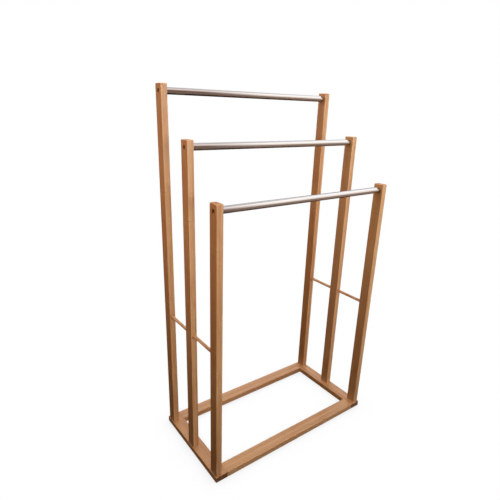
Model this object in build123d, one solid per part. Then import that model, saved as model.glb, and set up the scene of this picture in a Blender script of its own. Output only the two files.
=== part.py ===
"""Three-tier free-standing towel rack: bamboo posts on a flat bamboo base, with stainless steel bars.

Millimetres, +Z up. X runs along the bars, and -Y is the front, where the lowest tier stands.
The origin is the middle of the footprint, on the floor.
"""
import os

from build123d import *

# Overall sizes
width = 470               # outer face to outer face of the side rails
depth = 240               # end to end of the side rails
back_height = 825         # floor to the top of the tallest posts
tier_step = 100           # each frame is this much lower than the one behind it

# Bamboo sections and places
post_thick = 14           # post, along the bars
post_wide = 25            # post, front to back
rail_thick = 14           # every base rail, upright
side_rail_wide = 30
cross_rail_wide = 30
post_side_inset = 2.5     # ledge between a post's outer face and the side rail's outer face
post_end_inset = 3        # ledge between the outer posts and the ends of the side rails
edge_round = 1.0          # eased edges on posts and rails

# Bars and their end plugs
bar_diameter = 14
bar_wall = 0.8
bar_drop = 13.5           # top of a post down to the axis of its bar
plug_length = 26
plug_fit = 0.2            # tube bore over plug, on the diameter

# Spacer dowels between neighbouring posts
spacer_diameter = 7
spacer_height = 316       # floor to the axis of the dowels
spacer_seat = 6           # length of dowel inside each post

# Pins in the corners of the base, two to a corner
pin_diameter = 6
pin_seat = 19             # length of pin inside each rail
pin_spacing = 18          # between the two pins of a corner

# Fits of round bamboo in its sockets
socket_fit = 0.2          # socket over dowel or pin, on the diameter
socket_spare = 0.5        # socket deeper than what stands in it
end_chamfer = 0.6         # broken edge at the ends of dowels and pins

# Screws with a cylindrical head and a hexagon socket
shank_diameter = 4
head_diameter = 7.4
head_height = 3
key_across_flats = 2.5
key_depth = 1.8
point_length = 3
bar_screw_length = 30     # under the head, into the plug in a bar
foot_screw_length = 50    # under the head, up into a post
screw_recess = 5          # depth of the counterbore that hides a head
recess_fit = 0.8          # counterbore over head, on the diameter
pass_fit = 0.5            # plain hole over shank, on the diameter
bite_fit = 0.2            # hole that the thread holds in, over shank, on the diameter
bite_spare = 2            # pilot hole beyond the point

# Places worked out from the sizes above
post_x = width / 2 - post_side_inset - post_thick / 2
end_frame_y = depth / 2 - post_end_inset - post_wide / 2
frame_y = {"front": -end_frame_y, "middle": 0, "back": end_frame_y}
frame_top = {
    "front": back_height - 2 * tier_step,
    "middle": back_height - tier_step,
    "back": back_height,
}
side_sign = {"left": -1, "right": 1}
side_rail_x = width / 2 - side_rail_wide / 2
cross_rail_y = {"front": -(depth - cross_rail_wide) / 2, "back": (depth - cross_rail_wide) / 2}
cross_rail_length = width - 2 * side_rail_wide
bar_length = 2 * post_x - post_thick
bar_bore = bar_diameter - 2 * bar_wall

along_x = Rot(0, 90, 0)           # turns a piece made along +Z to point along +X
against_x = Rot(0, -90, 0)        # the same, to point along -X
along_y = Rot(-90, 0, 0)          # the same, to point along +Y
start = (Align.CENTER, Align.CENTER, Align.MIN)


def rod(diameter, length):
    """A plain cylinder that starts at the origin and runs up +Z."""
    return Cylinder(diameter / 2, length, align=start)


def pegged(diameter, length):
    """A round bamboo pin from the origin up +Z, with both ends broken."""
    body = rod(diameter, length)
    return chamfer(body.edges().filter_by(GeomType.CIRCLE), end_chamfer)


def socket(diameter, seat):
    """The hole that a round bamboo end of this diameter and seat stands in, along +Z."""
    return rod(diameter + socket_fit, seat + socket_spare)


def inward(side):
    """The turn that points a piece made along +Z from this side towards the middle of the rack."""
    return along_x if side == "left" else against_x


def bar_z(tier):
    """Height of a bar's axis."""
    return frame_top[tier] - bar_drop


def spacer_gaps():
    """The two gaps from front to back as name, front post's frame and back post's frame."""
    return [("front", "front", "middle"), ("back", "middle", "back")]


def eased(body, edges):
    """The piece with these edges rounded, never by more than a third of the post's thickness."""
    return fillet(edges, min(edge_round, post_thick / 3, rail_thick / 3))


def post(tier, side):
    """One upright post, drilled for its bar screw, its foot screw and its spacer dowels."""
    tall = frame_top[tier] - rail_thick
    body = Box(post_thick, post_wide, tall, align=start)
    top = body.faces().sort_by(Axis.Z)[-1]
    body = eased(body, body.edges().filter_by(Axis.Z) + top.edges())
    body = Pos(side_sign[side] * post_x, frame_y[tier], rail_thick) * body

    outer_x = side_sign[side] * (post_x + post_thick / 2)
    at_bar = Pos(outer_x, frame_y[tier], bar_z(tier)) * inward(side)
    body -= at_bar * rod(shank_diameter + pass_fit, post_thick)
    body -= at_bar * rod(head_diameter + recess_fit, screw_recess)

    pilot = foot_screw_length - (rail_thick - screw_recess) + bite_spare
    foot = Pos(side_sign[side] * post_x, frame_y[tier], rail_thick)
    body -= foot * rod(shank_diameter + bite_fit, pilot)

    hole = socket(spacer_diameter, spacer_seat)
    for _, front, back in spacer_gaps():
        if tier == front:
            face = frame_y[tier] + post_wide / 2
            body -= Pos(side_sign[side] * post_x, face, spacer_height) * along_y.inverse() * hole
        if tier == back:
            face = frame_y[tier] - post_wide / 2
            body -= Pos(side_sign[side] * post_x, face, spacer_height) * along_y * hole
    return body


def side_rail(side):
    """A base rail under three posts, with counterbored holes for the foot screws from below."""
    body = Box(side_rail_wide, depth, rail_thick, align=start)
    body = eased(body, body.edges())
    body = Pos(side_sign[side] * side_rail_x, 0, 0) * body
    for y in frame_y.values():
        below = Pos(side_sign[side] * post_x, y, 0)
        body -= below * rod(shank_diameter + pass_fit, rail_thick)
        body -= below * rod(head_diameter + recess_fit, screw_recess)
    inner_x = side_sign[side] * (side_rail_x - side_rail_wide / 2)
    outward = inward("right" if side == "left" else "left")
    for y in pin_places():
        body -= Pos(inner_x, y, rail_thick / 2) * outward * socket(pin_diameter, pin_seat)
    return body


def cross_rail(end):
    """The front or back base rail, butted between the side rails and drilled for the corner pins."""
    body = Box(cross_rail_length, cross_rail_wide, rail_thick, align=start)
    body = eased(body, body.edges().filter_by(Axis.X))
    body = Pos(0, cross_rail_y[end], 0) * body
    for side, sign in side_sign.items():
        for y in pin_places():
            at_end = Pos(sign * cross_rail_length / 2, y, rail_thick / 2) * inward(side)
            body -= at_end * socket(pin_diameter, pin_seat)
    return body


def pin_places():
    """The Y of every corner pin, from front to back."""
    return [y + step for y in cross_rail_y.values() for step in (-pin_spacing / 2, pin_spacing / 2)]


def corner_pin(side, y):
    """A glued bamboo pin across one butt joint of the base."""
    joint_x = side_sign[side] * cross_rail_length / 2
    turned = inward(side) * Pos(0, 0, -pin_seat) * pegged(pin_diameter, 2 * pin_seat)
    return Pos(joint_x, y, rail_thick / 2) * turned


def spacer_dowel(side, front, back):
    """A round dowel that ties the middles of two neighbouring posts."""
    gap = frame_y[back] - frame_y[front] - post_wide
    body = along_y * pegged(spacer_diameter, gap + 2 * spacer_seat)
    first = frame_y[front] + post_wide / 2 - spacer_seat
    return Pos(side_sign[side] * post_x, first, spacer_height) * body


def bar(tier):
    """A stainless steel tube that butts against the inner faces of its two posts."""
    tube = rod(bar_diameter, bar_length) - rod(bar_bore, bar_length)
    return Pos(-bar_length / 2, frame_y[tier], bar_z(tier)) * along_x * tube


def bar_plug(tier, side):
    """The plug pressed into one end of a bar, which the bar screw bites into."""
    body = rod(bar_bore - plug_fit, plug_length) - rod(shank_diameter + bite_fit, plug_length)
    end_x = side_sign[side] * bar_length / 2
    return Pos(end_x, frame_y[tier], bar_z(tier)) * inward(side) * body


def screw(length):
    """A screw along +Z whose head sits below the XY plane, with a hexagon socket in its top."""
    head = Pos(0, 0, -head_height) * rod(head_diameter, head_height)
    head = fillet(head.faces().sort_by(Axis.Z)[0].edges(), head_height / 6)
    shank = rod(shank_diameter, length - point_length)
    point = Cone(shank_diameter / 2, shank_diameter / 8, point_length, align=start)
    key_radius = key_across_flats / 3 ** 0.5
    key = extrude(RegularPolygon(key_radius, 6), key_depth)
    return head + shank + Pos(0, 0, length - point_length) * point - Pos(0, 0, -head_height) * key


def bar_screw(tier, side):
    """The screw through the top of a post into the end of its bar."""
    seat_x = side_sign[side] * (post_x + post_thick / 2 - screw_recess)
    return Pos(seat_x, frame_y[tier], bar_z(tier)) * inward(side) * screw(bar_screw_length)


def foot_screw(tier, side):
    """The screw from under a side rail up into the foot of a post."""
    return Pos(side_sign[side] * post_x, frame_y[tier], screw_recess) * screw(foot_screw_length)


def all_pieces():
    """Every piece of the rack by its node name."""
    pieces = {}
    for side in side_sign:
        pieces[f"side_rail_{side}"] = side_rail(side)
        for tier in frame_y:
            pieces[f"post_{tier}_{side}"] = post(tier, side)
            pieces[f"foot_screw_{tier}_{side}"] = foot_screw(tier, side)
            pieces[f"bar_screw_{tier}_{side}"] = bar_screw(tier, side)
            pieces[f"bar_plug_{tier}_{side}"] = bar_plug(tier, side)
        for gap, front, back in spacer_gaps():
            pieces[f"spacer_dowel_{gap}_{side}"] = spacer_dowel(side, front, back)
        for number, y in enumerate(pin_places()):
            end = "front" if y < 0 else "back"
            pieces[f"corner_pin_{end}_{side}_{number % 2 + 1}"] = corner_pin(side, y)
    for tier in frame_y:
        pieces[f"bar_{tier}"] = bar(tier)
    for end in cross_rail_y:
        pieces[f"cross_rail_{end}"] = cross_rail(end)
    return pieces


os.makedirs("parts", exist_ok=True)
for name, piece in all_pieces().items():
    export_step(piece, f"parts/{name}.step")
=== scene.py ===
"""A stepped towel rack: its shown surfaces and finishes, with a studio stage around them.

Metres, +Z up. X runs along the bars and -Y is the front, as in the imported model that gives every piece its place.
"""
import math

import bmesh
import bpy
import numpy as np
from bpy.props import FloatProperty, FloatVectorProperty, PointerProperty
from mathutils import Matrix, Vector


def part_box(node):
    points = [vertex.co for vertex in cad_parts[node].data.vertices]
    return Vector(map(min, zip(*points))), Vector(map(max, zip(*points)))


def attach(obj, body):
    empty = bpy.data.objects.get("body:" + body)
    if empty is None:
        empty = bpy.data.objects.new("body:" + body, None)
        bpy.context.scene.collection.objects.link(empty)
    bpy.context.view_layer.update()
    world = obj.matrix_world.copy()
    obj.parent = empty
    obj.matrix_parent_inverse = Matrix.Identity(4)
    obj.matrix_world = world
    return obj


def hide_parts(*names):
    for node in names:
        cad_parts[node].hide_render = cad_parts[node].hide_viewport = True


bl_info = {
    "name": "Towel Rack",
    "version": (1, 0, 0),
    "blender": (4, 5, 0),
    "location": "View3D > Sidebar > Towel Rack",
    "description": "Builds a stepped bamboo towel rack with stainless steel bars around its packed model",
    "category": "Add Mesh",
}

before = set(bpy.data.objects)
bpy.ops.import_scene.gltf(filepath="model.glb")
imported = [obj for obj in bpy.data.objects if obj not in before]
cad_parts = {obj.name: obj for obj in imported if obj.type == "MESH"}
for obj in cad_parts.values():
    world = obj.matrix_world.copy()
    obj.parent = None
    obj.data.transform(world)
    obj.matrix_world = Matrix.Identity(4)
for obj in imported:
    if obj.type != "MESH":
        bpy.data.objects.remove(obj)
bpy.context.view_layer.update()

MM = 0.001
TIERS = ("front", "middle", "back")
SIDES = {"left": -1, "right": 1}


def box(node):
    """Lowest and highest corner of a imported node, rounded to a hundredth of a millimetre, as arrays."""
    low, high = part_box(node)
    return np.round(np.array(low), 5), np.round(np.array(high), 5)


def linear(red, green, blue):
    """A colour given as 0-255 screen values, as the linear values that shaders work in."""
    screen = np.array([red, green, blue]) / 255
    return tuple(np.where(screen <= 0.04045, screen / 12.92, ((screen + 0.055) / 1.055) ** 2.4).tolist())


# ---------------------------------------------------------------- surfaces

def grid_faces(rows, columns):
    """Corner numbers of a grid's squares, where point (i, j) has number i * columns + j."""
    first = np.arange(rows - 1)[:, None] * columns + np.arange(columns - 1)
    return np.stack([first, first + 1, first + columns + 1, first + columns], -1)


def ring_surface(rings):
    """A surface through closed rings of points, given as an array (ring, point, xyz).

    Square i, k joins points k and k + 1 of ring i to the same two points of ring i + 1, and the last point of a
    ring is followed by its first.
    """
    count, around = rings.shape[:2]
    k = np.arange(around)
    start = np.arange(count - 1)[:, None] * around
    after = (k + 1) % around
    faces = np.stack([start + k, start + after, start + around + after, start + around + k], -1)
    return rings.reshape(-1, 3), faces.reshape(-1, 4)


def turned(along, radius, foot, axis, sign=1, around=96):
    """A surface of revolution about a line through foot.

    Point (i, k) = foot + along[i] * w + radius[i, k] * (cos t * u + sin t * v), with t = 2 pi k / around. w is the
    axis or its opposite, and u, v and w are at right angles.
    """
    along = np.asarray(along, float)
    radius = np.asarray(radius, float)
    if radius.ndim == 1:
        radius = np.repeat(radius[:, None], around, 1)
    around = radius.shape[1]
    t = 2 * np.pi * np.arange(around) / around
    w = np.eye(3)[axis] * sign
    u, v = np.eye(3)[(axis + 1) % 3], np.eye(3)[(axis + 2) % 3]
    if sign < 0:
        u, v = v, u
    rings = (
        np.asarray(foot, float)
        + along[:, None, None] * w
        + radius[..., None] * (np.cos(t)[:, None] * u + np.sin(t)[:, None] * v)
    )
    return ring_surface(rings)


BEND = np.tan(np.radians([45, 30, 15, 0]))
SQUARE = np.tan(np.radians(np.arange(-45, 46, 7.5)))


def block_lines(low, high, ease_low, ease_high, extra, step):
    """Where the grid of an eased block is divided along one axis.

    The bands at both ends are divided so that equal angles lie between their lines, one line stands just inside
    each band to keep the flat flat, extra gives the lines of holes, and gaps longer than step are divided evenly.
    """
    fixed = np.concatenate([
        low + ease_low * (1 - BEND),
        high - ease_high * (1 - BEND),
        [low + ease_low + 0.25 * MM, high - ease_high - 0.25 * MM],
        *extra,
    ])
    fixed = np.unique(np.round(fixed, 8))
    keep = np.concatenate([[True], np.diff(fixed) > 2e-6])
    fixed = fixed[keep]
    gaps = np.diff(fixed)
    parts = np.maximum(1, np.ceil(gaps / step - 1e-6)).astype(int)
    inside = np.concatenate([np.arange(n) / n for n in parts])
    return np.append(np.repeat(fixed[:-1], parts) + np.repeat(gaps, parts) * inside, fixed[-1])


def eased_block(low, high, ease, holes=(), step=12 * MM):
    """A block with rounded edges and drilled holes.

    Every point p of a plain box grid is drawn to the inner box, q = p kept within the easings, and pushed out again:
    p' = q + e * (d / |d|), where d = (p - q) / e and e are the easings of that corner along X, Y and Z. A hole takes
    a square of cells out of its face; the square's outline is then carried to circles down the hole, each point
    staying at its own angle about the hole's axis.

    ease is ((x, y, z) at the low ends, (x, y, z) at the high ends). A hole is (axis, side, centre, half, profile,
    through): the axis it runs along, the side it opens on, its centre on the other two axes, half its square, and
    (radius, depth) pairs from the mouth in.
    """
    low, high = np.asarray(low, float), np.asarray(high, float)
    ease_low, ease_high = np.asarray(ease, float)
    extra = {a: [np.array([low[a], high[a]])] for a in range(3)}
    for axis, _, centre, half, _, _ in holes:
        for a, middle in zip(((axis + 1) % 3, (axis + 2) % 3), centre):
            extra[a].append(middle + half * SQUARE)
    lines = [block_lines(low[a], high[a], ease_low[a], ease_high[a], extra[a], step) for a in range(3)]

    def rounded(points):
        inner = np.clip(points, low + ease_low, high - ease_high)
        reach = np.where(points < inner, ease_low, ease_high)
        offset = (points - inner) / reach
        length = np.linalg.norm(offset, axis=-1, keepdims=True)
        return inner + offset / np.maximum(length, 1e-12) * reach

    surfaces = []
    for axis in range(3):
        b, c = (axis + 1) % 3, (axis + 2) % 3
        for side in (-1, 1):
            value = high[axis] if side > 0 else low[axis]
            points = np.zeros((len(lines[c]), len(lines[b]), 3))
            points[..., axis] = value
            points[..., b] = lines[b][None, :]
            points[..., c] = lines[c][:, None]
            faces = grid_faces(len(lines[c]), len(lines[b]))
            middle_b = (lines[b][1:] + lines[b][:-1]) / 2
            middle_c = (lines[c][1:] + lines[c][:-1]) / 2
            solid = np.ones(faces.shape[:2], bool)
            for hole_axis, hole_side, centre, half, _, through in holes:
                if hole_axis == axis and (through or hole_side == side):
                    solid &= ~(
                        (np.abs(middle_b - centre[0])[None, :] < half)
                        & (np.abs(middle_c - centre[1])[:, None] < half)
                    )
            faces = faces[solid]
            surfaces.append((rounded(points).reshape(-1, 3), faces if side > 0 else faces[:, ::-1]))

    for axis, side, centre, half, profile, through in holes:
        b, c = (axis + 1) % 3, (axis + 2) % 3
        near = high[axis] if side > 0 else low[axis]
        far = low[axis] if side > 0 else high[axis]
        lb, lc = (
            lines[a][(lines[a] > middle - half - 1e-6) & (lines[a] < middle + half + 1e-6)]
            for a, middle in zip((b, c), centre)
        )
        outline = np.concatenate([
            np.stack([lb[:-1], np.full(len(lb) - 1, lc[0])], 1),
            np.stack([np.full(len(lc) - 1, lb[-1]), lc[:-1]], 1),
            np.stack([lb[:0:-1], np.full(len(lb) - 1, lc[-1])], 1),
            np.stack([np.full(len(lc) - 1, lb[0]), lc[:0:-1]], 1),
        ])
        if side < 0:
            outline = outline[::-1]
        away = outline - centre
        unit = away / np.linalg.norm(away, axis=1, keepdims=True)
        profile = np.asarray(profile, float)
        flat = np.concatenate([[outline], np.asarray(centre) + profile[:, :1, None] * unit[None]])
        level = np.concatenate([[near], near - side * profile[:, 1]])
        if through:
            flat = np.concatenate([flat, [outline]])
            level = np.append(level, far)
        rings = np.zeros(flat.shape[:2] + (3,))
        rings[..., axis] = level[:, None]
        rings[..., b], rings[..., c] = flat[..., 0], flat[..., 1]
        surfaces.append(ring_surface(rings))
    return surfaces


def bore(radius, depth, rim=0.25 * MM, tip=None):
    """(radius, depth) pairs of a round hole with an eased rim: a quarter circle from the face into the wall.

    tip, if given, closes the hole with a drill point of that extra depth.
    """
    turn = np.radians([0, 30, 60, 90])
    pairs = [(radius + rim + 0.3 * MM, 0.0)]
    pairs += [(radius + rim * (1 - math.sin(a)), rim * (1 - math.cos(a))) for a in turn]
    pairs += [(radius, rim + 0.2 * MM), (radius, depth - 0.1 * MM), (radius, depth)]
    if tip is not None:
        pairs += [(radius * 0.96, depth + tip * 0.04), (radius * 0.5, depth + tip * 0.5), (0, depth + tip)]
    return pairs


def make_piece(name, surfaces, node, material, angle=33):
    """One finished object out of (points, faces) surfaces. Points that meet are joined, and edges that turn by more
    than angle degrees stay sharp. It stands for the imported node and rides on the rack's one body."""
    offsets = np.cumsum([0] + [len(points) for points, _ in surfaces[:-1]])
    points = np.concatenate([points for points, _ in surfaces])
    faces = np.concatenate([np.asarray(faces) + offset for (_, faces), offset in zip(surfaces, offsets)])
    used, faces = np.unique(faces, return_inverse=True)
    points, faces = points[used], faces.reshape(-1, 4)
    mesh = bpy.data.meshes.new(name)
    mesh.from_pydata(points.tolist(), [], faces.tolist())
    work = bmesh.new()
    work.from_mesh(mesh)
    bmesh.ops.remove_doubles(work, verts=work.verts, dist=1.5e-6)
    bmesh.ops.dissolve_degenerate(work, edges=work.edges, dist=1e-7)
    work.to_mesh(mesh)
    work.free()
    mesh.polygons.foreach_set("use_smooth", np.ones(len(mesh.polygons), bool))
    mesh.set_sharp_from_angle(angle=math.radians(angle))
    mesh.materials.append(material)
    mesh.update()
    piece = bpy.data.objects.new(name, mesh)
    bpy.context.scene.collection.objects.link(piece)
    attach(piece, "root")
    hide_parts(node)
    return piece


def point_array(mesh):
    """The mesh's points as an array (point, xyz)."""
    points = np.empty(len(mesh.vertices) * 3, np.float32)
    mesh.vertices.foreach_get("co", points)
    return points.reshape(-1, 3).astype(float)


def write_grain(piece, centre, along, across, batch, marks):
    """Stores where the bamboo's pattern lies on a piece: grain = (across the laminations, across a lamination, along
    the fibres) from the piece's middle, marks = (cut end, eased edge, inside of a hole), and batch, which sets this
    piece's own draw of strips."""
    mesh = piece.data
    points = point_array(mesh)
    other = 3 - along - across
    offset = points - np.asarray(centre)
    grain = np.stack([offset[:, across], offset[:, other], offset[:, along]], 1)
    values = mesh.attributes.new("grain", "FLOAT_VECTOR", "POINT")
    values.data.foreach_set("vector", grain.astype(np.float32).ravel())
    values = mesh.attributes.new("marks", "FLOAT_VECTOR", "POINT")
    values.data.foreach_set("vector", marks.astype(np.float32).ravel())
    values = mesh.attributes.new("batch", "FLOAT", "POINT")
    values.data.foreach_set("value", np.full(len(points), batch, np.float32))


def block_marks(points, low, high, ease, along, holes):
    """The marks of a drilled block: 1 at its cut ends, 1 on its eased edges, and 1 inside its holes."""
    low, high = np.asarray(low, float), np.asarray(high, float)
    ease_low, ease_high = np.asarray(ease, float)
    inner = np.clip(points, low + ease_low, high - ease_high)
    reach = np.where(points < inner, ease_low, ease_high)
    offset = np.abs(points - inner) / reach
    cut = np.clip((offset[:, along] - 0.35) / 0.5, 0, 1)
    second = np.sort(offset, axis=1)[:, 1]
    edge = np.clip(second / 0.3, 0, 1)
    hole = np.zeros(len(points))
    for axis, side, centre, _, profile, _ in holes:
        near = high[axis] if side > 0 else low[axis]
        depth = (near - points[:, axis]) * side
        away = np.hypot(*(points[:, (axis + k) % 3] - centre[k - 1] for k in (1, 2)))
        widest = max(r for r, d in profile if d > 0)
        deepest = max(d for _, d in profile)
        hole = np.maximum(hole, (away < widest + 0.05 * MM) & (depth > 0.02 * MM) & (depth < deepest + MM))
    return np.stack([cut * (1 - hole), edge * (1 - hole), hole], 1)


# ---------------------------------------------------------------- shader tools

def add(tree, kind, inputs=None, **settings):
    """Adds a shader node. settings are its properties, and inputs maps a socket's name or number to a value, or to
    an output socket that is joined to it."""
    node = tree.nodes.new("ShaderNode" + kind)
    for key, value in settings.items():
        setattr(node, key, value)
    return set_inputs(tree, node, inputs or {})


def set_inputs(tree, node, inputs):
    """Joins or sets each of the node's named inputs, and gives the node back."""
    for key, value in inputs.items():
        if isinstance(value, bpy.types.NodeSocket):
            tree.links.new(value, node.inputs[key])
        else:
            node.inputs[key].default_value = value
    return node


def maths(tree, operation, first, second=0.0, third=0.0, clamp=False):
    """The output of a Math node."""
    return add(tree, "Math", {0: first, 1: second, 2: third}, operation=operation, use_clamp=clamp).outputs[0]


def times(tree, *values):
    """The product of two values."""
    return maths(tree, "MULTIPLY", *values)


def plus(tree, *values):
    """The sum of two values."""
    return maths(tree, "ADD", *values)


def minus(tree, *values):
    """The first value less the second."""
    return maths(tree, "SUBTRACT", *values)


def swing(tree, base, value, weight):
    """base + (value - 0.5) * weight, for a value that lies about 0.5."""
    return plus(tree, base, times(tree, minus(tree, value, 0.5), weight))


def remap(tree, value, low, high, to_low=0.0, to_high=1.0, smooth=False):
    """value moved from the range low..high to to_low..to_high, and kept inside it."""
    node = add(
        tree, "MapRange", {0: value, 1: low, 2: high, 3: to_low, 4: to_high},
        interpolation_type="SMOOTHSTEP" if smooth else "LINEAR",
    )
    return node.outputs[0]


def blend(tree, factor, first, second, mode="MIX"):
    """Two colours mixed by factor."""
    return add(tree, "Mix", {0: factor, 6: first, 7: second}, data_type="RGBA", blend_type=mode).outputs[2]


def ramp(tree, value, stops):
    """A colour read off a strip of (place, red, green, blue) stops, with value -1 to 1 along it."""
    node = add(tree, "ValToRGB", {0: remap(tree, value, -1.0, 1.0)})
    strip = node.color_ramp
    while len(strip.elements) < len(stops):
        strip.elements.new(1.0)
    for element, (place, *colour) in zip(strip.elements, stops):
        element.position = (place + 1) / 2
        element.color = (*colour, 1.0)
    return node.outputs[0]


def noise(tree, vector, scale, detail=2.0, roughness=0.5, distortion=0.0):
    """The value of a Noise Texture."""
    node = add(tree, "TexNoise", {
        "Vector": vector, "Scale": scale, "Detail": detail, "Roughness": roughness, "Distortion": distortion,
    })
    return node.outputs[0]


def stretched(tree, vector, x, y, z):
    """vector multiplied by x, y and z."""
    return add(tree, "VectorMath", {0: vector, 1: (x, y, z)}, operation="MULTIPLY").outputs[0]


def new_group(name, inputs, outputs):
    """A new node group. inputs maps names to (socket kind, default), outputs maps names to socket kinds."""
    tree = bpy.data.node_groups.new(name, "ShaderNodeTree")
    for key, (kind, value) in inputs.items():
        socket = tree.interface.new_socket(name=key, in_out="INPUT", socket_type="NodeSocket" + kind)
        if value is not None:
            socket.default_value = value
    for key, kind in outputs.items():
        tree.interface.new_socket(name=key, in_out="OUTPUT", socket_type="NodeSocket" + kind)
    return tree, tree.nodes.new("NodeGroupInput"), tree.nodes.new("NodeGroupOutput")


def place_group(tree, group, inputs):
    """A node group placed in tree with its inputs set."""
    node = tree.nodes.new("ShaderNodeGroup")
    node.node_tree = group
    return set_inputs(tree, node, inputs)


def rgba(colour):
    """A property's colour with full alpha."""
    return (*colour[:3], 1.0)


# ---------------------------------------------------------------- node groups

def bamboo_group():
    """Laminated bamboo. Strips of the given width lie side by side, each with its own tone, its own joints along its
    length and a fine dark glue line beside it. Fibres run along Z of the vector, and show as dots on a cut end."""
    name = "Laminated Bamboo"
    if name in bpy.data.node_groups:
        return bpy.data.node_groups[name]
    tree, start, end = new_group(
        name,
        {
            "Vector": ("Vector", None), "Marks": ("Vector", None), "Batch": ("Float", 0.0),
            "Strip": ("Float", 0.005), "Joint Pitch": ("Float", 0.26),
            "Light": ("Color", None), "Dark": ("Color", None), "Line": ("Color", None),
            "Variation": ("Float", 1.0), "End Shade": ("Float", 0.3),
        },
        {"Color": "Color", "Roughness": "Float", "Height": "Float"},
    )
    vector, marks, batch = (start.outputs[k] for k in ("Vector", "Marks", "Batch"))
    parts = add(tree, "SeparateXYZ", {0: vector})
    mark = add(tree, "SeparateXYZ", {0: marks})
    own = times(tree, batch, 7.31)

    # strips and glue lines
    place = plus(tree, maths(tree, "DIVIDE", parts.outputs[0], start.outputs["Strip"]), 200.5)
    index = maths(tree, "FLOOR", place)
    from_seam = maths(tree, "PINGPONG", place, 0.5)
    seam = remap(tree, from_seam, 0.012, 0.04, 1.0, 0.0, smooth=True)
    draw = add(tree, "CombineXYZ", {0: index, 1: own, 2: 0.37})
    dice = add(tree, "TexWhiteNoise", {"Vector": draw.outputs[0]}, noise_dimensions="3D")
    roll = add(tree, "SeparateColor", {0: dice.outputs["Color"]})
    shifted = add(tree, "CombineXYZ", {
        0: times(tree, index, 0.113), 1: own, 2: times(tree, roll.outputs[1], 3.0),
    })
    local = add(tree, "VectorMath", {0: vector, 1: shifted.outputs[0]}, operation="ADD").outputs[0]

    # slow drift of tone along each strip, and blotches from the heat treatment
    drift = noise(tree, stretched(tree, local, 40, 30, 5.5), 1.0, 3.0, 0.55)
    blotch = noise(tree, stretched(tree, local, 90, 90, 22), 1.0, 2.0, 0.5)

    # fibre streaks at two widths
    broad = noise(tree, stretched(tree, local, 700, 700, 6), 1.0, 2.0, 0.6)
    fine = noise(tree, stretched(tree, local, 2600, 2600, 16), 1.0, 3.0, 0.65)
    streak = plus(tree, times(tree, broad, 0.6), times(tree, fine, 0.4))
    ticks = noise(tree, stretched(tree, local, 2600, 2600, 130), 1.0, 1.0, 0.5)
    ticks = remap(tree, ticks, 0.66, 0.76, smooth=True)

    # joints: a thin dark line, slightly bowed, with a paler band beside it, at its own height on every strip
    bow = noise(tree, stretched(tree, local, 70, 70, 0), 1.0, 1.0, 0.4)
    bow = times(tree, minus(tree, bow, 0.5), 0.010)
    height = plus(tree, parts.outputs[2], bow)
    height = maths(tree, "DIVIDE", height, start.outputs["Joint Pitch"])
    height = plus(tree, height, roll.outputs[2])
    height = plus(tree, height, plus(tree, 50.0, own))
    from_joint = maths(tree, "PINGPONG", height, 0.5)
    joint = remap(tree, from_joint, 0.0008, 0.0045, 1.0, 0.0, smooth=True)
    halo = remap(tree, from_joint, 0.004, 0.05, 1.0, 0.0, smooth=True)

    tone = plus(tree, times(tree, minus(tree, roll.outputs[0], 0.5), 0.5), 0.5)
    tone = swing(tree, tone, drift, 0.9)
    tone = swing(tree, tone, blotch, 0.35)
    tone = swing(tree, tone, streak, 1.9)
    tone = minus(tree, tone, times(tree, halo, 0.16))
    tone = maths(tree, "MULTIPLY_ADD", minus(tree, tone, 0.5), start.outputs["Variation"], 0.5, True)
    colour = blend(tree, tone, start.outputs["Light"], start.outputs["Dark"])

    hue = remap(tree, blotch, 0.3, 0.7, 0.0, 0.22)
    warm = blend(tree, hue, colour, (1.0, 0.80, 0.62, 1.0), "MULTIPLY")
    hue = remap(tree, drift, 0.55, 0.35, 0.0, 0.3)
    colour = blend(tree, hue, warm, (0.98, 1.0, 0.80, 1.0), "MULTIPLY")
    colour = blend(tree, times(tree, joint, 0.42), colour, start.outputs["Line"])
    colour = blend(tree, times(tree, seam, 0.42), colour, start.outputs["Line"])
    colour = blend(tree, times(tree, ticks, 0.22), colour, start.outputs["Line"])

    # cut end: bundles of fibres as dark dots, close together on one side of every strip
    spots = add(tree, "TexVoronoi", {"Vector": stretched(tree, vector, 1500, 1500, 0), "Scale": 1.0},
                voronoi_dimensions="2D", feature="F1")
    dots = remap(tree, spots.outputs["Distance"], 0.20, 0.42, 1.0, 0.0, smooth=True)
    crowd = remap(tree, maths(tree, "FRACT", place), 0.0, 1.0, 0.35, 0.95)
    dots = times(tree, dots, crowd)
    end_colour = blend(tree, dots, blend(tree, 0.35, colour, start.outputs["Dark"]), start.outputs["Line"])
    end_colour = blend(tree, start.outputs["End Shade"], end_colour, (0.18, 0.13, 0.11, 1), "MULTIPLY")
    colour = blend(tree, times(tree, mark.outputs[0], 0.9), colour, end_colour)

    # eased edges are painted paler, a painted highlight along them with a little rubbing wear, and the holes are
    # painted with shade inside
    edge_wear_and_highlight = times(tree, mark.outputs[1], remap(tree, broad, 0.35, 0.65, 0.15, 0.5))
    colour = blend(tree, edge_wear_and_highlight, colour, start.outputs["Light"])
    # painted shade: the insides of the drilled holes are darkened towards the line colour
    colour = blend(tree, times(tree, mark.outputs[2], 0.45), colour, start.outputs["Line"])

    rough = plus(tree, 0.33, times(tree, streak, 0.16))
    rough = plus(tree, rough, times(tree, blotch, 0.08))
    rough = plus(tree, rough, times(tree, maths(tree, "MAXIMUM", mark.outputs[0],
                                                                  mark.outputs[2]), 0.25), 0.0, True)
    relief = minus(tree, times(tree, fine, 0.6), times(tree, seam, 0.8))
    relief = plus(tree, relief, times(tree, broad, 0.5))
    relief = minus(tree, relief, times(tree, ticks, 0.35))
    relief = minus(tree, relief, times(tree, joint, 0.5))
    relief = minus(tree, relief, times(tree, times(tree, dots,
                                                                         mark.outputs[0]), 0.8))
    for key, value in (("Color", colour), ("Roughness", rough), ("Height", relief)):
        tree.links.new(value, end.inputs[key])
    return tree


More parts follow.
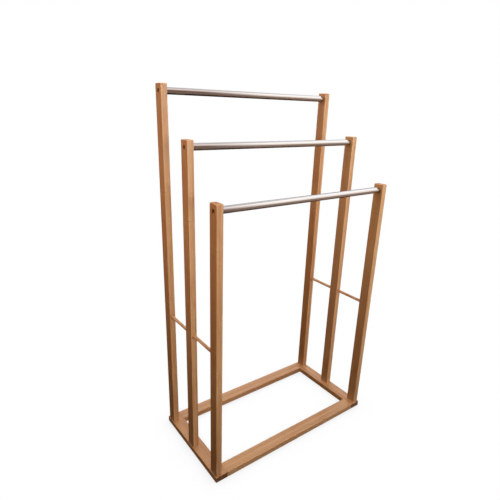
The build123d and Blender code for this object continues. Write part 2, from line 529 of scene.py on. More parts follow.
def handling_group():
    """Marks of use on a smooth finish: soft smears, and fine scratches along and across the piece. Both come out as
    masks, with a height for the scratches."""
    name = "Handling Marks"
    if name in bpy.data.node_groups:
        return bpy.data.node_groups[name]
    tree, start, end = new_group(
        name,
        {"Vector": ("Vector", None), "Smear Size": ("Float", 0.03), "Scratch Size": ("Float", 0.0004)},
        {"Smears": "Float", "Scratches": "Float", "Height": "Float"},
    )
    vector = start.outputs["Vector"]
    large = maths(tree, "DIVIDE", 1.0, start.outputs["Smear Size"])
    small = maths(tree, "DIVIDE", 1.0, start.outputs["Scratch Size"])
    smears = noise(tree, vector, large, 3.0, 0.6, 0.6)
    smears = remap(tree, smears, 0.42, 0.68, smooth=True)
    patch = noise(tree, vector, times(tree, large, 2.3), 1.0, 0.5)
    lengthwise = noise(tree, stretched(tree, vector, 0.012, 1, 1), small, 1.0, 0.5)
    crosswise = noise(tree, stretched(tree, vector, 1, 0.05, 0.05), small, 1.0, 0.5)
    scratches = maths(tree, "MAXIMUM", remap(tree, lengthwise, 0.66, 0.74), remap(tree, crosswise, 0.7, 0.78))
    scratches = times(tree, scratches, remap(tree, patch, 0.45, 0.62))
    height = times(tree, scratches, -1.0)
    for key, value in (("Smears", smears), ("Scratches", scratches), ("Height", height)):
        tree.links.new(value, end.inputs[key])
    return tree


# ---------------------------------------------------------------- materials

def new_material(name):
    """A new material with an empty node tree, its Principled shader and its output."""
    material = bpy.data.materials.new(name)
    material.use_nodes = True
    tree = material.node_tree
    tree.nodes.clear()
    shader = add(tree, "BsdfPrincipled")
    output = add(tree, "OutputMaterial")
    tree.links.new(shader.outputs[0], output.inputs[0])
    return material, tree, shader


def finish_shader(tree, shader, colour, rough, height, bump, distance, **constants):
    """Joins a colour, a roughness and a height to the shader, and sets its plain values by socket name."""
    tree.links.new(colour, shader.inputs["Base Color"])
    tree.links.new(rough, shader.inputs["Roughness"])
    relief = add(tree, "Bump", {"Strength": bump, "Distance": distance, "Height": height})
    tree.links.new(relief.outputs[0], shader.inputs["Normal"])
    for key, value in constants.items():
        shader.inputs[key.replace("_", " ")].default_value = value


def bamboo(name, strip, pitch, variation=1.0, end_shade=0.3):
    """Caramel bamboo under satin lacquer, cut into strips of the given width. Its ends are darker by end_shade."""
    if name in bpy.data.materials:
        return bpy.data.materials[name]
    look = bpy.context.scene.rack_bamboo
    material, tree, shader = new_material(name)
    grain = add(tree, "Attribute", attribute_name="grain")
    marks = add(tree, "Attribute", attribute_name="marks")
    batch = add(tree, "Attribute", attribute_name="batch")
    wood = place_group(tree, bamboo_group(), {
        "Vector": grain.outputs["Vector"], "Marks": marks.outputs["Vector"], "Batch": batch.outputs["Fac"],
        "Strip": strip, "Joint Pitch": pitch, "Variation": variation, "End Shade": end_shade,
        "Light": rgba(look.light), "Dark": rgba(look.dark), "Line": rgba(look.line),
    })
    wear = place_group(tree, handling_group(), {"Vector": grain.outputs["Vector"], "Smear Size": 0.05})
    rough = maths(tree, "MULTIPLY_ADD", wear.outputs["Smears"], 0.06, wood.outputs["Roughness"], True)
    finish_shader(
        tree, shader, wood.outputs["Color"], rough, wood.outputs["Height"], 0.35, 0.15 * MM,
        Coat_Weight=look.lacquer, Coat_Roughness=0.22,
    )
    return material


def hidden_bamboo():
    """Unlacquered bamboo for the pins inside the joints, by object coordinates."""
    name = "bamboo pin"
    if name in bpy.data.materials:
        return bpy.data.materials[name]
    look = bpy.context.scene.rack_bamboo
    material, tree, shader = new_material(name)
    place = add(tree, "TexCoord")
    turn = add(tree, "Mapping", {"Vector": place.outputs["Object"], "Rotation": (0, math.pi / 2, 0)})
    wood = place_group(tree, bamboo_group(), {
        "Vector": turn.outputs[0], "Marks": (0, 0, 0), "Batch": 3.0, "Strip": 0.02, "Joint Pitch": 0.3,
        "Light": rgba(look.light), "Dark": rgba(look.dark), "Line": rgba(look.line),
    })
    finish_shader(tree, shader, wood.outputs["Color"], wood.outputs["Roughness"], wood.outputs["Height"],
                  0.4, 0.15 * MM)
    return material


def stainless():
    """Polished stainless steel tube: faint polishing lines along it, soft smears and a few fine scratches."""
    name = "polished stainless steel"
    if name in bpy.data.materials:
        return bpy.data.materials[name]
    look = bpy.context.scene.rack_metal
    material, tree, shader = new_material(name)
    place = add(tree, "TexCoord").outputs["Object"]
    wear = place_group(tree, handling_group(), {"Vector": place, "Smear Size": 0.035, "Scratch Size": 0.0005})
    lines = noise(tree, stretched(tree, place, 25, 2600, 2600), 1.0, 3.0, 0.6)
    rings = noise(tree, stretched(tree, place, 900, 60, 60), 1.0, 2.0, 0.6)
    tint = blend(tree, remap(tree, lines, 0.35, 0.65), rgba(look.steel), rgba([c * 0.93 for c in look.steel]))
    tint = blend(tree, times(tree, wear.outputs["Smears"], 0.3), tint,
                 rgba([c * f for c, f in zip(look.steel, (0.93, 0.91, 0.88))]))
    rough = maths(tree, "MULTIPLY_ADD", wear.outputs["Smears"], 0.03, 0.045)
    rough = maths(tree, "MULTIPLY_ADD", lines, 0.04, rough)
    rough = maths(tree, "MULTIPLY_ADD", wear.outputs["Scratches"], 0.10, rough, True)
    height = plus(tree, times(tree, lines, 0.5), times(tree, rings, 0.25))
    height = plus(tree, height, times(tree, wear.outputs["Height"], 0.4))
    finish_shader(tree, shader, tint, rough, height, 0.08, 0.03 * MM, Metallic=1.0)
    return material


def screw_steel():
    """Bronzed screw steel, scratched bare in places and dull in its grain."""
    name = "bronzed screw steel"
    if name in bpy.data.materials:
        return bpy.data.materials[name]
    look = bpy.context.scene.rack_metal
    material, tree, shader = new_material(name)
    place = add(tree, "TexCoord").outputs["Object"]
    wear = place_group(tree, handling_group(), {"Vector": place, "Smear Size": 0.004, "Scratch Size": 0.0003})
    grain = noise(tree, place, 4000, 3.0, 0.6)
    tint = blend(tree, remap(tree, grain, 0.4, 0.7), rgba(look.screw), rgba([c * 1.6 for c in look.screw]))
    tint = blend(tree, times(tree, wear.outputs["Scratches"], 0.7), tint, (0.35, 0.33, 0.31, 1))
    rough = maths(tree, "MULTIPLY_ADD", grain, 0.25, 0.3)
    rough = maths(tree, "MULTIPLY_ADD", wear.outputs["Smears"], 0.12, rough, True)
    finish_shader(tree, shader, tint, rough, grain, 0.25, 0.05 * MM, Metallic=0.75)
    return material


def plug_plastic():
    """Dark grey moulded plastic with a fine spark-eroded grain."""
    name = "moulded plug plastic"
    if name in bpy.data.materials:
        return bpy.data.materials[name]
    look = bpy.context.scene.rack_metal
    material, tree, shader = new_material(name)
    place = add(tree, "TexCoord").outputs["Object"]
    wear = place_group(tree, handling_group(), {"Vector": place, "Smear Size": 0.006, "Scratch Size": 0.0004})
    grain = noise(tree, place, 2500, 2.0, 0.5)
    tint = blend(tree, remap(tree, grain, 0.3, 0.7), rgba(look.plug), rgba([c * 1.3 for c in look.plug]))
    rough = maths(tree, "MULTIPLY_ADD", wear.outputs["Smears"], 0.1, 0.5)
    finish_shader(tree, shader, tint, rough, grain, 0.3, 0.08 * MM)
    return material


# ---------------------------------------------------------------- sizes and colours

def fine_length(name, description, default, low, high):
    """A small length, all three values in millimetres."""
    return FloatProperty(
        name=name, description=description, default=default * MM, min=low * MM, max=high * MM, unit="LENGTH",
        precision=5)


def colour_value(name, description, default):
    """A linear colour."""
    return FloatVectorProperty(
        name=name, description=description, default=default, min=0, max=1, size=3, subtype="COLOR")


def light_power(name, description, default):
    """The power of a light, in watts."""
    return FloatProperty(name=name, description=description, default=default, min=0, unit="POWER")


class RackSizes(bpy.types.PropertyGroup):
    """Sizes of the small shapes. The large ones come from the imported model."""

    edge_ease: fine_length(
        "Edge Easing", "Radius on the long edges of the posts and rails", 1.0, 0.2, 2.0)
    joint_ease: fine_length(
        "Joint Easing", "How far the edges are broken where bamboo butts against bamboo", 0.15, 0.05, 0.5)
    tube_wall: fine_length(
        "Tube Wall", "Thickness of the steel of a bar", 0.8, 0.4, 2.0)
    thread_pitch: fine_length(
        "Thread Pitch", "From one turn of the screw thread to the next", 1.6, 0.8, 3.0)
    strip_width: fine_length(
        "Strip Width", "Width of one bamboo strip in the posts", 4.7, 2.0, 20)
    rail_strip_width: fine_length(
        "Rail Strip Width", "Width of one bamboo strip in the base rails", 7.5, 2.0, 30)
    joint_pitch: FloatProperty(
        name="Joint Pitch", description="Distance between two joints of the bamboo cane",
        default=0.26, min=0.1, max=0.6, unit="LENGTH")


class RackBamboo(bpy.types.PropertyGroup):
    """Colours of the bamboo."""

    light: colour_value(
        "Light Fibres", "Palest colour of the bamboo", linear(224, 174, 127))
    dark: colour_value(
        "Dark Fibres", "Deepest colour of the bamboo", linear(176, 117, 72))
    # this colour is also painted inside the drilled holes as shade
    line: colour_value(
        "Joints and Glue", "Colour of the cane's joints, the glue lines and painted shade in holes", linear(108, 60, 33))
    lacquer: FloatProperty(
        name="Lacquer", description="Strength of the satin lacquer over the bamboo",
        default=0.5, min=0, max=1, subtype="FACTOR")


class RackMetal(bpy.types.PropertyGroup):
    """Colours of the bars, the screws and the plugs."""

    steel: colour_value(
        "Steel", "Colour of the polished bars", (0.62, 0.59, 0.57))
    screw: colour_value(
        "Screws", "Colour of the bronzed screws", linear(116, 78, 56))
    plug: colour_value(
        "Plugs", "Colour of the plugs inside the bars", linear(60, 60, 62))


class RackStage(bpy.types.PropertyGroup):
    """The studio around the rack."""

    floor: colour_value(
        "Floor", "Colour of the floor", (1.0, 1.0, 1.0))
    # the strength of the floor's painted contact shadow under the rack
    contact: FloatProperty(
        name="Contact Shade", description="How much darker the floor is right under the rack",
        default=0.16, min=0, max=1, subtype="FACTOR")
    key: light_power("Key Light", "Power of the light at the front right", 4.8)
    left_key: light_power("Left Key Light", "Power of the light at the front left", 3.15)
    fill: light_power("Fill Light", "Power of the warm light at the left", 2.1)
    top: light_power("Top Light", "Power of the light overhead", 14.6)
    back: light_power("Back Light", "Power of the light at the back right", 16.0)
    glow: light_power("Floor Glow", "Power of the light that comes up through the floor", 14.0)


# ---------------------------------------------------------------- operators

def bamboo_block(node, ease, holes, along, across, batch, material):
    """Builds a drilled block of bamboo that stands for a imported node, with its fibres along one axis and its strips
    side by side across another."""
    low, high = box(node)
    piece = make_piece(f"{node}_bamboo", eased_block(low, high, ease, holes), node, material)
    marks = block_marks(point_array(piece.data), low, high, ease, along, holes)
    write_grain(piece, (low + high) / 2, along, across, batch, marks)


# the draw of strips that each kind of piece starts from
POST_BATCH, SIDE_RAIL_BATCH, CROSS_RAIL_BATCH, DOWEL_BATCH = 1.0, 11.0, 21.0, 31.0

# the drilled holes: half the square that a hole takes out of its face, the counterbore, and the shank's passage
HOLE_SQUARE = 5.2 * MM
RECESS_DEPTH = 5 * MM
FOOT_RECESS_RADIUS = 4.1 * MM
PASSAGE_RADIUS = 2.25 * MM
PASSAGE_MOUTH = 2.55 * MM
PILOT_RADIUS, PILOT_DEPTH = 2.1 * MM, 43 * MM
PIN_SQUARE, PIN_SOCKET_DEPTH = 4 * MM, 19.3 * MM
DOWEL_SOCKET_DEPTH = 6.3 * MM
SOCKET_SLACK = 0.1 * MM
SOCKET_RIM = SOCKET_TIP = 0.2 * MM


def passage(length):
    """(radius, depth) pairs of a screw's passage, from the floor of its counterbore to the far face."""
    return [(PASSAGE_MOUTH, RECESS_DEPTH), (PASSAGE_RADIUS, RECESS_DEPTH), (PASSAGE_RADIUS, length - 0.1 * MM),
            (PASSAGE_RADIUS, length)]


def post_holes(tier, side):
    """The holes of one post, as eased_block takes them: the counterbored bar screw hole, the pilot hole for the foot
    screw, and the sockets of its dowels. Every place is read off the piece that stands in the hole."""
    low, high = box(f"post_{tier}_{side}")
    centre = (low + high) / 2
    screw_low, screw_high = box(f"bar_screw_{tier}_{side}")
    head = (screw_high[2] - screw_low[2]) / 2
    axis_z = (screw_high[2] + screw_low[2]) / 2
    sign = SIDES[side]
    recess = bore(head + 0.4 * MM, RECESS_DEPTH)
    pilot = bore(PILOT_RADIUS, PILOT_DEPTH, 0.15 * MM, tip=1 * MM)
    holes = [
        (0, sign, (centre[1], axis_z), HOLE_SQUARE, recess + passage(high[0] - low[0]), True),
        (2, -1, (centre[0], centre[1]), HOLE_SQUARE, pilot, False),
    ]
    for gap, front, back in (("front", "front", "middle"), ("back", "middle", "back")):
        dowel_low, dowel_high = box(f"spacer_dowel_{gap}_{side}")
        place = ((dowel_low[2] + dowel_high[2]) / 2, (dowel_low[0] + dowel_high[0]) / 2)
        radius = (dowel_high[2] - dowel_low[2]) / 2 + SOCKET_SLACK
        socket = bore(radius, DOWEL_SOCKET_DEPTH, SOCKET_RIM, tip=SOCKET_TIP)
        for post, opening in ((front, 1), (back, -1)):
            if tier == post:
                holes.append((1, opening, place, HOLE_SQUARE, socket, False))
    return holes


class RACK_OT_posts(bpy.types.Operator):
    """Builds the six upright posts with their eased edges and drilled holes"""

    bl_idname = "rack.posts"
    bl_label = "Posts"
    bl_options = {"REGISTER", "UNDO"}

    def execute(self, context):
        sizes = context.scene.rack_sizes
        edge, joint = sizes.edge_ease, sizes.joint_ease
        # the posts' cut ends are darkened far less than the rails': painted light that keeps the lit post tops pale
        material = bamboo("laminated bamboo", sizes.strip_width, sizes.joint_pitch, 1.0, 0.1)
        for number, (tier, side) in enumerate((t, s) for t in TIERS for s in SIDES):
            node = f"post_{tier}_{side}"
            ease = ((edge, edge, joint), (edge, edge, edge))
            holes = post_holes(tier, side)
            bamboo_block(node, ease, holes, 2, 0, number + POST_BATCH, material)
        return {"FINISHED"}


def rail_bamboo(sizes):
    """The rails' bamboo: wider and calmer strips than the posts', and much darker cut ends."""
    return bamboo("laminated bamboo rail", sizes.rail_strip_width, sizes.joint_pitch * 1.15, 0.7, 0.85)


def rail_pin_holes(x, side):
    """Two blind sockets for each corner pin that meets the face at x, opening towards side."""
    holes = []
    for end in ("front", "back"):
        for hand in SIDES:
            for number in (1, 2):
                low, high = box(f"corner_pin_{end}_{hand}_{number}")
                middle = (low + high) / 2
                if abs(middle[0] - x) < MM:
                    radius = (high[2] - low[2]) / 2 + SOCKET_SLACK
                    profile = bore(radius, PIN_SOCKET_DEPTH, SOCKET_RIM, tip=SOCKET_TIP)
                    holes.append((0, side, (middle[1], middle[2]), PIN_SQUARE, profile, False))
    return holes


class RACK_OT_side_rails(bpy.types.Operator):
    """Builds the two side rails of the base, counterbored from below for the foot screws"""

    bl_idname = "rack.side_rails"
    bl_label = "Side Rails"
    bl_options = {"REGISTER", "UNDO"}

    def execute(self, context):
        sizes = context.scene.rack_sizes
        edge = sizes.edge_ease
        material = rail_bamboo(sizes)
        for number, (side, sign) in enumerate(SIDES.items()):
            node = f"side_rail_{side}"
            low, high = box(node)
            ease = ((edge,) * 3, (edge,) * 3)
            inner_x = low[0] if sign > 0 else high[0]
            holes = rail_pin_holes(inner_x, -sign)
            for tier in TIERS:
                screw_low, screw_high = box(f"foot_screw_{tier}_{side}")
                middle = np.round((screw_low + screw_high) / 2, 4)
                profile = bore(FOOT_RECESS_RADIUS, RECESS_DEPTH) + passage(high[2] - low[2])
                holes.append((2, -1, (middle[0], middle[1]), HOLE_SQUARE, profile, True))
            bamboo_block(node, ease, holes, 1, 0, number + SIDE_RAIL_BATCH, material)
        return {"FINISHED"}


class RACK_OT_cross_rails(bpy.types.Operator):
    """Builds the front and back rails of the base, butted between the side rails"""

    bl_idname = "rack.cross_rails"
    bl_label = "Cross Rails"
    bl_options = {"REGISTER", "UNDO"}

    def execute(self, context):
        sizes = context.scene.rack_sizes
        edge, joint = sizes.edge_ease, sizes.joint_ease
        material = rail_bamboo(sizes)
        for number, end in enumerate(("front", "back")):
            node = f"cross_rail_{end}"
            low, high = box(node)
            ease = ((joint, edge, edge), (joint, edge, edge))
            holes = [
                hole
                for x, side in ((low[0], -1), (high[0], 1))
                for hole in rail_pin_holes(x, side)
                if low[1] < hole[2][0] < high[1]
            ]
            bamboo_block(node, ease, holes, 0, 1, number + CROSS_RAIL_BATCH, material)
        return {"FINISHED"}


# rings along half a tube, outside and inside
OUTER_RINGS, INNER_RINGS = 24, 12


class RACK_OT_bars(bpy.types.Operator):
    """Builds the three stainless steel tubes with their eased ends"""

    bl_idname = "rack.bars"
    bl_label = "Bars"
    bl_options = {"REGISTER", "UNDO"}

    def execute(self, context):
        wall = context.scene.rack_sizes.tube_wall
        material = stainless()
        for tier in TIERS:
            node = f"bar_{tier}"
            low, high = box(node)
            outer = (high[2] - low[2]) / 2
            length = high[0] - low[0]
            turn = np.radians([0, 22.5, 45, 67.5, 90])
            ease = 0.3 * MM
            # the outer line of half the tube's section, from its middle to the inner edge of its end
            along = np.concatenate([
                np.linspace(0, length / 2 - ease - 0.3 * MM, OUTER_RINGS), length / 2 - ease + ease * np.sin(turn),
                length / 2 - 0.1 * MM + 0.1 * MM * np.cos(turn),
            ])
            radius = np.concatenate([
                np.full(OUTER_RINGS, outer), outer - ease + ease * np.cos(turn),
                outer - wall + 0.1 * MM - 0.1 * MM * np.sin(turn),
            ])
            inside = np.linspace(length / 2 - 0.4 * MM, 0, INNER_RINGS)
            along = np.concatenate([along, inside])
            radius = np.concatenate([radius, np.full(INNER_RINGS, outer - wall)])
            full_along = np.concatenate([-along[::-1], along[1:]])
            full_radius = np.concatenate([radius[::-1], radius[1:]])
            order = np.roll(np.arange(len(full_along) - 1), -len(inside))
            order = np.append(order, order[0])
            foot = ((low[0] + high[0]) / 2, (low[1] + high[1]) / 2, (low[2] + high[2]) / 2)
            surface = turned(full_along[order], full_radius[order], foot, 0, 1, 96)
            make_piece(f"{node}_steel", [surface], node, material)
        return {"FINISHED"}


class RACK_OT_dowels(bpy.types.Operator):
    """Builds the four round dowels that tie the posts of each side together"""

    bl_idname = "rack.dowels"
    bl_label = "Spacer Dowels"
    bl_options = {"REGISTER", "UNDO"}

    def execute(self, context):
        material = bamboo("bamboo dowel", 40 * MM, context.scene.rack_sizes.joint_pitch)
        for number, (gap, side) in enumerate((g, s) for g in ("front", "back") for s in SIDES):
            node = f"spacer_dowel_{gap}_{side}"
            low, high = box(node)
            radius = (high[2] - low[2]) / 2
            length = high[1] - low[1]
            broken = 0.6 * MM
            along = np.concatenate([
                [0, 0, 0.02 * MM, broken - 0.05 * MM, broken, broken + 0.1 * MM],
                np.linspace(2 * MM, length - 2 * MM, 30),
                [length - broken - 0.1 * MM, length - broken, length - broken + 0.05 * MM, length - 0.02 * MM,
                 length, length],
            ])
            narrow = radius - broken
            ends = [0, narrow - 0.05 * MM, narrow, radius - 0.05 * MM, radius, radius]
            wide = np.concatenate([ends, np.full(30, radius), ends[::-1]])
            foot = ((low[0] + high[0]) / 2, low[1], (low[2] + high[2]) / 2)
            surface = turned(along, wide, foot, 1, 1, 48)
            piece = make_piece(f"{node}_bamboo", [surface], node, material)
            points = point_array(piece.data)
            inset = np.minimum(points[:, 1] - low[1], high[1] - points[:, 1])
            cut = (inset < 0.01 * MM).astype(float)
            marks = np.stack([cut, cut * 0, cut * 0], 1)
            write_grain(piece, (low + high) / 2, 1, 0, number + DOWEL_BATCH, marks)
        return {"FINISHED"}


SCREW_HEAD_HEIGHT = 3.0 * MM


def screw_surface(head_foot, axis, sign, length, pitch):
    """A socket screw about a line through head_foot, the middle of the face under its head.

    It is one surface of revolution whose radius also changes with the angle t: the socket is a hexagon, with radius
    half its width over the cosine of the angle from the middle of the nearest flat, and the thread adds a ridge of
    (1 - 2 |s|) ** 0.7, where s is how far the point lies from the crest, in pitches, which moves on by one for
    every turn.
    """
    around = 48
    t = 2 * np.pi * np.arange(around) / around
    head, tall, ease = 3.7 * MM, SCREW_HEAD_HEIGHT, 0.5 * MM
    flat = (t + np.pi / 6) % (np.pi / 3) - np.pi / 6
    hexagon = 1.25 * MM / np.cos(flat)
    root, crest, point = 1.55 * MM, 2.0 * MM, 3.0 * MM
    key = 1.8 * MM

    outline = [
        (-tall + key + 0.35 * MM, 0), (-tall + key, hexagon * 0.86), (-tall + key, hexagon * 0.99),
        (-tall + key - 0.05 * MM, hexagon), (-tall + 0.14 * MM, hexagon), (-tall + 0.12 * MM, hexagon),
        (-tall + 0.02 * MM, hexagon + 0.1 * MM), (-tall, hexagon + 0.14 * MM), (-tall, 1.9 * MM),
        (-tall, head - ease - 0.15 * MM),
    ]
    outline += [(-tall + ease - ease * math.cos(a), head - ease + ease * math.sin(a))
                for a in np.radians([0, 18, 36, 54, 72, 90])]
    start = 2.2 * MM
    outline += [
        (-tall + ease + 0.1 * MM, head), (-0.15 * MM, head), (-0.04 * MM, head - 0.04 * MM), (0, head - 0.1 * MM),
        (0, crest + 0.35 * MM), (0.06 * MM, crest + 0.08 * MM), (0.3 * MM, crest), (start - 0.4 * MM, crest),
    ]
    turns = np.arange(start, length - 0.05 * MM, pitch / 8)
    away = (turns[:, None] / pitch - t[None, :] / (2 * np.pi) + 0.5) % 1 - 0.5
    ridge = np.clip(1 - 2 * np.abs(away) * 1.15, 0, 1) ** 0.7
    fade = np.clip((turns - start) / pitch, 0, 1)[:, None]
    wall = crest * (1 - fade) + (root + (crest - root) * ridge) * fade
    taper = np.clip((length - turns) / point, 0, 1)[:, None]
    wall = np.minimum(wall, 0.25 * crest + (wall - 0.25 * crest) * taper ** 0.8)
    outline += [*zip(turns, wall), (length - 0.02 * MM, 0.3 * MM), (length, 0)]
    rings = np.array([np.broadcast_to(radius, (around,)) for _, radius in outline], float)
    return turned([at for at, _ in outline], rings, head_foot, axis, sign)


class RACK_OT_screws(bpy.types.Operator):
    """Builds the bar screws and the foot screws, with a hexagon socket and a thread"""

    bl_idname = "rack.screws"
    bl_label = "Screws"
    bl_options = {"REGISTER", "UNDO"}

    def execute(self, context):
        pitch = context.scene.rack_sizes.thread_pitch
        material = screw_steel()
        for tier in TIERS:
            for side, sign in SIDES.items():
                node = f"bar_screw_{tier}_{side}"
                low, high = box(node)
                middle = (low + high) / 2
                under = (high[0] - SCREW_HEAD_HEIGHT) if sign > 0 else (low[0] + SCREW_HEAD_HEIGHT)
                surface = screw_surface((under, middle[1], middle[2]), 0, -sign,
                                        high[0] - low[0] - SCREW_HEAD_HEIGHT, pitch)
                make_piece(f"{node}_steel", [surface], node, material)

                node = f"foot_screw_{tier}_{side}"
                low, high = box(node)
                middle = np.round((low + high) / 2, 4)
                surface = screw_surface((middle[0], middle[1], low[2] + SCREW_HEAD_HEIGHT), 2, 1,
                                        high[2] - low[2] - SCREW_HEAD_HEIGHT, pitch)
                make_piece(f"{node}_steel", [surface], node, material)
        return {"FINISHED"}


# six plugs and eight pins
HIDDEN_PIECES = 14


class RACK_OT_hidden(bpy.types.Operator):
    """Gives the plugs in the bars and the pins in the base joints their finishes"""

    bl_idname = "rack.hidden"
    bl_label = "Plugs and Pins"
    bl_options = {"REGISTER", "UNDO"}

    def execute(self, context):
        looks = {"bar_plug": plug_plastic(), "corner_pin": hidden_bamboo()}
        shown = [(node, looks[key]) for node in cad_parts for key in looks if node.startswith(key)]
        if len(shown) != HIDDEN_PIECES:
            raise RuntimeError(f"{HIDDEN_PIECES} plugs and pins were expected, and the packed model has {len(shown)}")
        for node, material in shown:
            fill_slots(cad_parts[node], material)
        replaced = {
            "post": "laminated bamboo", "side_rail": "laminated bamboo rail", "cross_rail": "laminated bamboo rail",
            "spacer_dowel": "bamboo dowel", "bar_screw": "bronzed screw steel",
            "foot_screw": "bronzed screw steel", "bar_front": "polished stainless steel",
            "bar_middle": "polished stainless steel", "bar_back": "polished stainless steel",
        }
        for node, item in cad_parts.items():
            for key, name in replaced.items():
                if node.startswith(key):
                    fill_slots(item, bpy.data.materials[name])
        return {"FINISHED"}


def fill_slots(item, material):
    """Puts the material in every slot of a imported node."""
    if not item.material_slots:
        item.data.materials.append(material)
    for slot in item.material_slots:
        slot.material = material


def studio_wall(tree, x, y, z):
    """What a reflection sees in the way (x, y, z). From low to high, the left front is a brown floor, a dark gap and a
    pale screen, the right front is a floor and a bright window, and the back is dark up to a pale ceiling."""
    left = ramp(tree, z, (
        (-1.0, 0.12, 0.08, 0.07), (-0.75, 0.20, 0.15, 0.13), (-0.5, 0.29, 0.20, 0.165), (-0.15, 0.33, 0.23, 0.19),
        (-0.06, 0.12, 0.07, 0.055), (0.08, 0.14, 0.085, 0.07), (0.2, 0.28, 0.19, 0.165), (0.42, 0.55, 0.43, 0.40),
        (0.6, 1.0, 0.83, 0.79), (0.7, 1.25, 1.1, 1.05), (0.9, 1.2, 1.06, 1.02), (1.0, 0.7, 0.63, 0.6),
    ))
    right = ramp(tree, z, (
        (-1.0, 0.12, 0.08, 0.07), (-0.6, 0.38, 0.28, 0.235), (-0.2, 0.44, 0.33, 0.28), (-0.12, 0.30, 0.21, 0.17),
        (-0.05, 1.0, 0.92, 0.87), (0.12, 1.3, 1.22, 1.16), (0.4, 1.45, 1.4, 1.35), (0.55, 1.8, 1.77, 1.73),
        (0.85, 1.75, 1.72, 1.68), (1.0, 1.0, 0.97, 0.94),
    ))
    rear = ramp(tree, z, (
        (-0.06, 0.02, 0.016, 0.013), (0.04, 0.05, 0.04, 0.035), (0.35, 0.14, 0.13, 0.12), (0.48, 1.1, 1.13, 1.22),
        (0.68, 1.3, 1.38, 1.56), (0.76, 0.7, 0.69, 0.7), (1.0, 0.7, 0.68, 0.66),
    ))
    wall = blend(tree, remap(tree, x, 0.48, 0.64, smooth=True), left, right)
    return blend(tree, remap(tree, y, 0.15, -0.25, smooth=True), rear, wall)


def world_light():
    """The studio's walls as a world: white to the eye, and bands of light and dark to reflections. Ways to the left
    see the same walls turned half round, with a dark gap low at the back. Matt surfaces get a weak glow from above."""
    world = bpy.data.worlds.new("studio")
    bpy.context.scene.world = world
    world.use_nodes = True
    tree = world.node_tree
    tree.nodes.clear()
    way = add(tree, "SeparateXYZ", {0: add(tree, "TexCoord").outputs["Generated"]})
    x, y, z = way.outputs[:3]
    turned_way = (times(tree, x, -1.0), times(tree, y, -1.0), z)
    seen = blend(tree, remap(tree, x, -0.2, 0.2, smooth=True), studio_wall(tree, *turned_way),
                 studio_wall(tree, x, y, z))
    gap = times(tree, remap(tree, x, -0.02, -0.2, smooth=True), remap(tree, y, 0.1, 0.4, smooth=True))
    gap = times(tree, gap, remap(tree, z, 0.04, -0.06, smooth=True))
    seen = blend(tree, gap, seen, (0.01, 0.007, 0.005, 1))
    soft = blend(tree, remap(tree, z, -0.2, 0.6, smooth=True), (0.008, 0.006, 0.005, 1), (0.02, 0.019, 0.018, 1))
    path = add(tree, "LightPath")
    shade = blend(tree, path.outputs["Is Diffuse Ray"], seen, soft)
    shade = blend(tree, path.outputs["Is Camera Ray"], shade, (1, 1, 1, 1))
    background = add(tree, "Background", {"Color": shade, "Strength": 1.0})
    output = add(tree, "OutputWorld")
    tree.links.new(background.outputs[0], output.inputs[0])


def floor_material(stage):
    """A white floor that glows, so that it meets the white wall with no line, and has a painted shadow close
    under the rack. From below it can be seen through."""
    material = bpy.data.materials.new("studio floor")
    material.use_nodes = True
    tree = material.node_tree
    tree.nodes.clear()
    # painted contact shadow: the floor's glow is darkened where the rack stands close above it
    open_sky = add(tree, "AmbientOcclusion", {"Distance": 0.07}, samples=8)
    shade = remap(tree, open_sky.outputs["AO"], 0.35, 1.0, 1.0 - stage.contact, 1.0, smooth=True)
    colour = blend(tree, shade, (0, 0, 0, 1), rgba(stage.floor))
    glow = add(tree, "Emission", {"Color": colour, "Strength": 1.0})
    through = add(tree, "BsdfTransparent")
    under = add(tree, "NewGeometry")
    both = add(tree, "MixShader", {0: under.outputs["Backfacing"], 1: glow.outputs[0], 2: through.outputs[0]})
    output = add(tree, "OutputMaterial")
    tree.links.new(both.outputs[0], output.inputs[0])
    return material


def area_light(name, place, target, size, spread, power, colour):
    """A square area light at place that faces target, with its beam spread degrees wide. It isn't mirrored in the
    bars."""
    light = bpy.data.lights.new(name, "AREA")
    light.shape = "SQUARE"
    light.size = size
    light.spread = math.radians(spread)
    light.energy = power
    light.color = colour
    lamp = bpy.data.objects.new(name, light)
    lamp.location = place
    lamp.rotation_euler = (Vector(target) - Vector(place)).to_track_quat("-Z", "Y").to_euler()
    lamp.visible_glossy = False
    bpy.context.scene.collection.objects.link(lamp)


# the camera: metres, radians (yaw, pitch, roll), millimetres of lens, and shares of the picture
CAMERA_PLACE = (-0.60121, -0.71847, 0.77959)
CAMERA_TURN = (0.632272, -0.345011, 0.029517)
CAMERA_LENS = 29.962
CAMERA_SHIFT = (0.0019, 0.01944)
FLOOR_HALF, FLOOR_POINTS = 6, 9


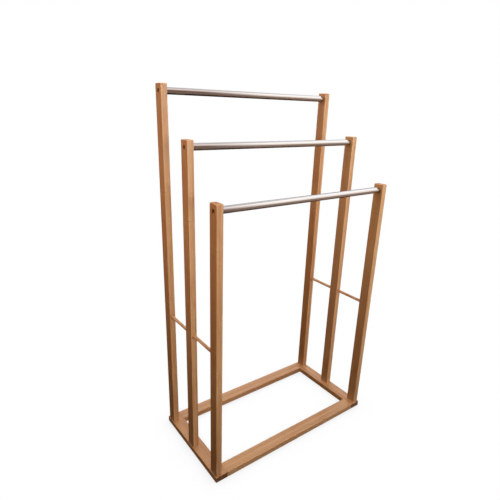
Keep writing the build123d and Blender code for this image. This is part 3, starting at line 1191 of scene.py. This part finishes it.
class RACK_OT_stage(bpy.types.Operator):
    """Sets the floor, the lights and the camera"""

    bl_idname = "rack.stage"
    bl_label = "Stage"
    bl_options = {"REGISTER", "UNDO"}

    def execute(self, context):
        scene = context.scene
        stage = scene.rack_stage
        scene.view_settings.view_transform = "Standard"
        scene.view_settings.look = "None"
        scene.view_settings.use_curve_mapping = True
        scene.view_settings.curve_mapping.black_level = (0.006, 0.007, 0.007)
        scene.view_settings.curve_mapping.update()

        side = np.linspace(-FLOOR_HALF, FLOOR_HALF, FLOOR_POINTS)
        points = np.zeros((FLOOR_POINTS, FLOOR_POINTS, 3))
        points[..., 0], points[..., 1] = side[None, :], side[:, None]
        points[..., 2] = -0.1 * MM
        mesh = bpy.data.meshes.new("floor")
        faces = grid_faces(FLOOR_POINTS, FLOOR_POINTS).reshape(-1, 4)
        mesh.from_pydata(points.reshape(-1, 3).tolist(), [], faces.tolist())
        material = floor_material(stage)
        mesh.materials.append(material)
        floor = bpy.data.objects.new("floor", mesh)
        scene.collection.objects.link(floor)
        floor.visible_diffuse = False
        floor.visible_glossy = False

        world_light()
        area_light("key light", (1.0, -2.2, 0.9), (0, 0, 0.95), 1.0, 60, stage.key, (0.90, 0.97, 1.0))
        area_light("left key light", (-0.6, -2.3, 1.0), (0, 0, 0.84), 1.0, 60, stage.left_key, (1.0, 0.97, 0.93))
        area_light("fill light", (-2.0, 0.2, 0.85), (0, 0, 0.84), 0.8, 46, stage.fill, (1.0, 0.77, 0.58))
        area_light("top light", (0, 0, 1.75), (0, 0, 0.4), 0.6, 180, stage.top, (0.91, 0.97, 1.0))
        area_light("back light", (1.9, 2.2, 0.8), (0, 0, 0.6), 1.2, 90, stage.back, (1.0, 0.97, 0.92))
        area_light("floor glow", (0, 0, -2.0), (0, 0, 0), 0.3, 60, stage.glow, (1.0, 0.97, 0.93))

        camera = bpy.data.cameras.new("camera")
        camera.sensor_width = 36
        camera.lens = CAMERA_LENS
        camera.shift_x, camera.shift_y = CAMERA_SHIFT
        eye = bpy.data.objects.new("camera", camera)
        scene.collection.objects.link(eye)
        yaw, pitch, roll = CAMERA_TURN
        forward = Vector((math.sin(yaw) * math.cos(pitch), math.cos(yaw) * math.cos(pitch), math.sin(pitch)))
        right = Vector((math.cos(yaw), -math.sin(yaw), 0))
        up = right.cross(forward)
        turned_right = right * math.cos(roll) + up * math.sin(roll)
        turned_up = -right * math.sin(roll) + up * math.cos(roll)
        eye.matrix_world = Matrix.Translation(CAMERA_PLACE) @ Matrix(
            (turned_right, turned_up, -forward)).transposed().to_4x4()
        scene.camera = eye
        return {"FINISHED"}


class RACK_PT_panel(bpy.types.Panel):
    """The rack's sizes, colours and pieces"""

    bl_idname = "RACK_PT_panel"
    bl_label = "Towel Rack"
    bl_space_type = "VIEW_3D"
    bl_region_type = "UI"
    bl_category = "Towel Rack"

    def draw(self, context):
        for title, group in (("Sizes", "rack_sizes"), ("Bamboo", "rack_bamboo"), ("Metal", "rack_metal"),
                             ("Stage", "rack_stage")):
            area = self.layout.box()
            area.label(text=title)
            values = getattr(context.scene, group)
            for key in values.bl_rna.properties.keys():
                if key not in ("rna_type", "name"):
                    area.prop(values, key)
        for operator in OPERATORS:
            self.layout.operator(operator.bl_idname)


GROUPS = {"rack_sizes": RackSizes, "rack_bamboo": RackBamboo, "rack_metal": RackMetal, "rack_stage": RackStage}
OPERATORS = (RACK_OT_posts, RACK_OT_side_rails, RACK_OT_cross_rails, RACK_OT_bars, RACK_OT_dowels, RACK_OT_screws,
             RACK_OT_hidden, RACK_OT_stage)


def register():
    for item in (*GROUPS.values(), *OPERATORS, RACK_PT_panel):
        bpy.utils.register_class(item)
    for name, group in GROUPS.items():
        setattr(bpy.types.Scene, name, PointerProperty(type=group))


def unregister():
    for name in GROUPS:
        delattr(bpy.types.Scene, name)
    for item in reversed((*GROUPS.values(), *OPERATORS, RACK_PT_panel)):
        bpy.utils.unregister_class(item)


def main():
    """Builds every piece and the stage."""
    register()
    bpy.ops.rack.posts()
    bpy.ops.rack.side_rails()
    bpy.ops.rack.cross_rails()
    bpy.ops.rack.bars()
    bpy.ops.rack.dowels()
    bpy.ops.rack.screws()
    bpy.ops.rack.hidden()
    bpy.ops.rack.stage()


if __name__ == "__main__":
    main()
